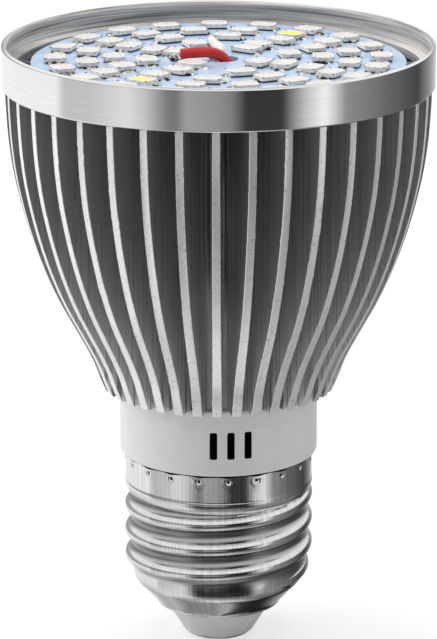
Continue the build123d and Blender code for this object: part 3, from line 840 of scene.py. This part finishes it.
def thread_radius(angle, z):
    """Radius of the rolled ridge at an angle in degrees and a height, or 0 off the ridge."""
    best = 0.0
    for turn_number in range(-4, 1):
        along = angle / 360 + turn_number
        away = abs(z - (crest_right + pitch * along))
        if away > pitch / 2:
            continue
        if away < pitch / 4:
            radius = crest - arc + math.sqrt(arc ** 2 - away ** 2)
        else:
            radius = crest - depth + arc - math.sqrt(arc ** 2 - (pitch / 2 - away) ** 2)
        past = max(along * 360 / run_out_top, (-turns_down - along) * 360 / run_out_foot, 0.0)
        if past > 1:
            continue
        best = max(best, radius - (depth + 0.05) * past ** 1.5)
    return best


def along_line(points, z):
    """Radius at a height on a line of (height, radius) points."""
    for (low, inner), (high, outer) in zip(points, points[1:]):
        if z <= high:
            return inner + (outer - inner) * max(z - low, 0.0) / (high - low)
    return points[-1][1]


def shell_outer(angle, z):
    """Outer radius of the shell."""
    plain = along_line(bowl, z) if z < 15 else along_line(shoulder, z)
    return max(plain, thread_radius(angle, z) if z > 8.7 else 0.0)


def shell_point(column, row):
    """A point of the sheet in millimetres. A plain row has its own radius all round."""
    kind, z, radius = row
    angle = 360 * column / columns_round
    t = math.radians(angle)
    if kind == "outer":
        radius = shell_outer(angle, z)
        if z > 25:
            sideways = math.radians(off_mark(angle)) * band_radius
            away = math.hypot(sideways, z - mark_height)
            if away < mark_radius:
                radius -= mark_depth * (1 - away / mark_radius)
            elif away < mark_rim:
                radius += rim_rise * math.sin(math.pi * (away - mark_radius) / (mark_rim - mark_radius))
        if z > shell_top - 0.4:
            pulled = math.exp(-(sideways / dip_width) ** 2)
            wave = noise.noise(Vector((math.cos(t) * 6, math.sin(t) * 6, 0)))
            z -= edge_drop + edge_dip * pulled + edge_wave * wave
    return (radius * math.cos(t), radius * math.sin(t), z)


# %% Shell shape
heights = [27.13, 27.0] + [26.85 - 0.13 * i for i in range(10)] + [25.5 - 0.5 * i for i in range(5)]
heights += [23.3, 23.2, 23.08, 22.95, 22.7, 22.45, 22.2] + [22.05 - 0.105 * i for i in range(132)]
# From the bowl's foot the wall runs down a cone, round the lip and back up the inside: radius and height
cone_and_inside = [
    (11.52, 8.15), (11.45, 8.07), (10.6, 7.19), (9.6, 6.08), (8.86, 5.26), (8.80, 5.15), (8.78, 5.02),
    (8.70, 4.93), (8.55, 4.9), (7.8, 4.9), (7.72, 4.94), (7.7, 5.02), (7.7, 5.25), (8.56, 5.25),
    (11.65, 8.65), (11.65, 21.18), (12.73, 22.08), (12.73, 27.0),
]
rows = [("plain", 27.09, 12.78)] + [("outer", z, 0) for z in heights]
rows += [("plain", z, r) for r, z in cone_and_inside]
rows += [rows[0]]
bm = bmesh.new()
face_rows = extrude_rows(bm, columns_round, rows, shell_point)[1]
# Painted shade, near black: the cut edge at the top, under the neck, and the middle of each punch mark
for face in face_rows[0]:
    face.material_index = 1
shaded_mark_radius, sheet_inside = 0.2, 12.75
for face in bm.faces:
    middle = face.calc_center_median() / MM
    sideways = math.radians(off_mark(math.degrees(math.atan2(middle.y, middle.x)))) * band_radius
    in_mark = math.hypot(sideways, middle.z - mark_height) < shaded_mark_radius
    if in_mark and middle.xy.length > sheet_inside:
        face.material_index = 1
finish_piece("screw_shell_rolled", bm, [nickel, edge_and_mark_shade], ["screw_shell"], sharp=45)

# %% [markdown]
# ## The wires
#
# Two leads come up through the hole. The red one arches over to a solder joint on the
# left, and the white one turns to the back. A wire bends in one smooth line, so the red
# one is a round tube along a smooth line through a few points. The white one keeps its
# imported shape.

# %% Wires
red_pvc = mottled("red insulation", "#b81f1f", "#d8302c", (0.8, 0.8, 0.8), Roughness=0.32)
white_pvc = mottled("white insulation", "#e2e0dd", "#f6f5f3", (0.8, 0.8, 0.8), Roughness=0.32)

# %% Wire shape
def smooth_route(points, between=6):
    """Points on a smooth line through the given ones."""
    ends = [points[0]] + points + [points[-1]]
    route = []
    for a, b, c, d in zip(ends, ends[1:], ends[2:], ends[3:]):
        for k in range(between):
            t = k / between
            route.append(0.5 * (2 * b + (c - a) * t + (2 * a - 5 * b + 4 * c - d) * t ** 2
                                + (3 * b - a - 3 * c + d) * t ** 3))
    return route + [points[-1]]


wire_sides, end_bevel = 20, 0.08


def make_wire(name, points, radius, material, node):
    """A round tube along a route, closed at both ends."""
    route = smooth_route([Vector(p) for p in points])
    last = len(route) - 1
    rows = [(0, 0.0), (0, radius - end_bevel)] + [(i, radius) for i in range(1, last)]
    rows += [(last, radius - end_bevel), (last, 0.0)]

    def wire_point(column, row):
        i, r = row
        ahead = (route[min(i + 1, last)] - route[max(i - 1, 0)]).normalized()
        across = ahead.cross(Vector((0, 1, 0))).normalized()
        turn = math.tau * column / wire_sides
        return route[i] + r * (math.cos(turn) * across + math.sin(turn) * ahead.cross(across))

    bm = bmesh.new()
    extrude_rows(bm, wire_sides, rows, wire_point)
    finish_piece(name, bm, [material], [node], sharp=50)


red_radius = 0.74
make_wire("red_lead_wire", [(1.6, -1.27, 53.4), (1.6, -1.27, 59.5), (1.3, 0.0, 75.75), (1.35, 0.1, 80.4),
                            (1.15, 0.0, 82.1), (0.1, -0.15, 83.2), (-1.4, -0.3, 83.62), (-3.2, -0.3, 83.58),
                            (-5.15, -0.25, 83.35)], red_radius, red_pvc, "red_lead")

# %% [markdown]
# The red wire ends in a round drop of solder, which is a flattened ball cut off level
# with the board.

# %% Solder drop of the red wire
red_low, red_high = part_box("solder_red")
middle = (red_low + red_high) / 2
drop_size, drop_rise = (1.0, 0.9, 0.85), 0.15
bm = bmesh.new()
bmesh.ops.create_uvsphere(bm, u_segments=32, v_segments=20, radius=1.0)
bmesh.ops.scale(bm, verts=bm.verts, vec=[v * MM for v in drop_size])
bmesh.ops.translate(bm, verts=bm.verts, vec=(middle.x, middle.y, (board_top + drop_rise) * MM))
cut = bmesh.ops.bisect_plane(bm, geom=bm.verts[:] + bm.edges[:] + bm.faces[:],
                             plane_co=(0, 0, board_top * MM), plane_no=(0, 0, 1),
                             clear_inner=True)["geom_cut"]
bmesh.ops.edgeloop_fill(bm, edges=[e for e in cut if isinstance(e, bmesh.types.BMEdge)])
finish_piece("solder_drop_red", bm, [tin], ["solder_red"], sharp=60)

# %% [markdown]
# ## Plastic and hidden parts
#
# The neck is moulded white plastic with a soft gloss, and the base insulator is light
# grey. The walls of the neck's vent slots are painted black as painted shade, by
# place: within the slots' height and just under the drum's surface.

# %% White plastic
white_plastic, tree, shader = new_material("moulded white plastic", Roughness=0.3)
drift = streaks(tree, (0.2, 0.2, 0.2))
tone = add_node(tree, "ValToRGB", {"Fac": drift.outputs["Fac"]},
                stops=[(0.3, linear("#d6d6d6")), (0.7, linear("#dedede"))])
vent_middle, vent_reach = 31.75, 2.2
out, level = from_axis(tree)
at_vents = add_node(tree, "Math", {0: level}, {1: vent_middle * MM, 2: vent_reach * MM},
                    operation="COMPARE")
inside = add_node(tree, "MapRange", {"Value": out},
                  {"From Min": 13.55 * MM, "From Max": 13.72 * MM, "To Min": 1.0, "To Max": 0.0})
# Painted shade: the slot walls turn near black
vent_shade_mask = add_node(tree, "Math", {0: at_vents.outputs[0], 1: inside.outputs[0]}, operation="MULTIPLY")
vents_in_painted_shade = add_node(tree, "Mix", {"Factor": vent_shade_mask.outputs[0], 6: tone.outputs["Color"]},
                  {7: linear("#090909")}, data_type="RGBA")
tree.links.new(vents_in_painted_shade.outputs[2], shader.inputs["Base Color"])

# %% [markdown]
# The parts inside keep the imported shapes. Each gets the finish of its real material:
# epoxy, ferrite, enamelled copper, shrink sleeve or laminate.

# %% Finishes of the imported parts
finishes = {
    "neck_housing": white_plastic,
    "white_lead": white_pvc,
    "solder_white": tin,
    "live_joint": tin,
    "neutral_joint": tin,
}
for node, name, dark, light, spread, metallic, roughness in (
    ("base_insulator", "grey moulded resin", "#dadada", "#e2e2e2", (0.2, 0.2, 0.2), 0.0, 0.35),
    ("centre_contact", "tinned contact", "#8f8c86", "#b9b6b0", (0.8, 0.8, 0.8), 1.0, 0.3),
    ("thermal_pad", "heat conducting pad", "#4a4c50", "#5d5f64", (0.6, 0.6, 0.6), 0.0, 0.7),
    ("driver_board", "glass fibre laminate", "#8a7a45", "#a39356", (1.2, 1.2, 0.2), 0.0, 0.5),
    ("transformer_core", "ferrite", "#2b2b2d", "#3b3b3d", (1.5, 1.5, 1.5), 0.0, 0.6),
    ("transformer_winding", "enamelled copper", "#1a100b", "#2a1a11", (0.2, 0.2, 6.0), 0.3, 0.5),
    ("film_capacitor", "dipped film case", "#8c3a22", "#a84a2c", (0.8, 0.8, 0.8), 0.0, 0.35),
    ("bulk_capacitor", "shrink sleeve", "#1d2a4a", "#26365c", (0.5, 0.5, 0.5), 0.0, 0.35),
    ("output_capacitor", "shrink sleeve green", "#1f3d33", "#284d40", (0.5, 0.5, 0.5), 0.0, 0.35),
    ("bridge_rectifier", "black epoxy", "#171717", "#242424", (1.5, 1.5, 1.5), 0.0, 0.5),
    ("controller_chip", "black epoxy chip", "#151515", "#222222", (1.5, 1.5, 1.5), 0.0, 0.5),
    ("freewheel_diode", "black epoxy diode", "#161616", "#232323", (1.5, 1.5, 1.5), 0.0, 0.5),
    ("fusible_resistor", "cement coat", "#7fa3a0", "#93b6b2", (1.2, 1.2, 1.2), 0.0, 0.6),
    ("live_lead", "blue insulation", "#26488f", "#3058a6", (0.8, 0.8, 0.8), 0.0, 0.35),
    ("neutral_lead", "blue insulation neutral", "#26488f", "#3058a6", (0.8, 0.8, 0.8), 0.0, 0.35),
):
    finishes[node] = mottled(name, dark, light, spread, Metallic=metallic, Roughness=roughness)
for node, material in finishes.items():
    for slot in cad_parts[node].material_slots:
        slot.material = material
print("packed parts with a finish:", len(finishes))
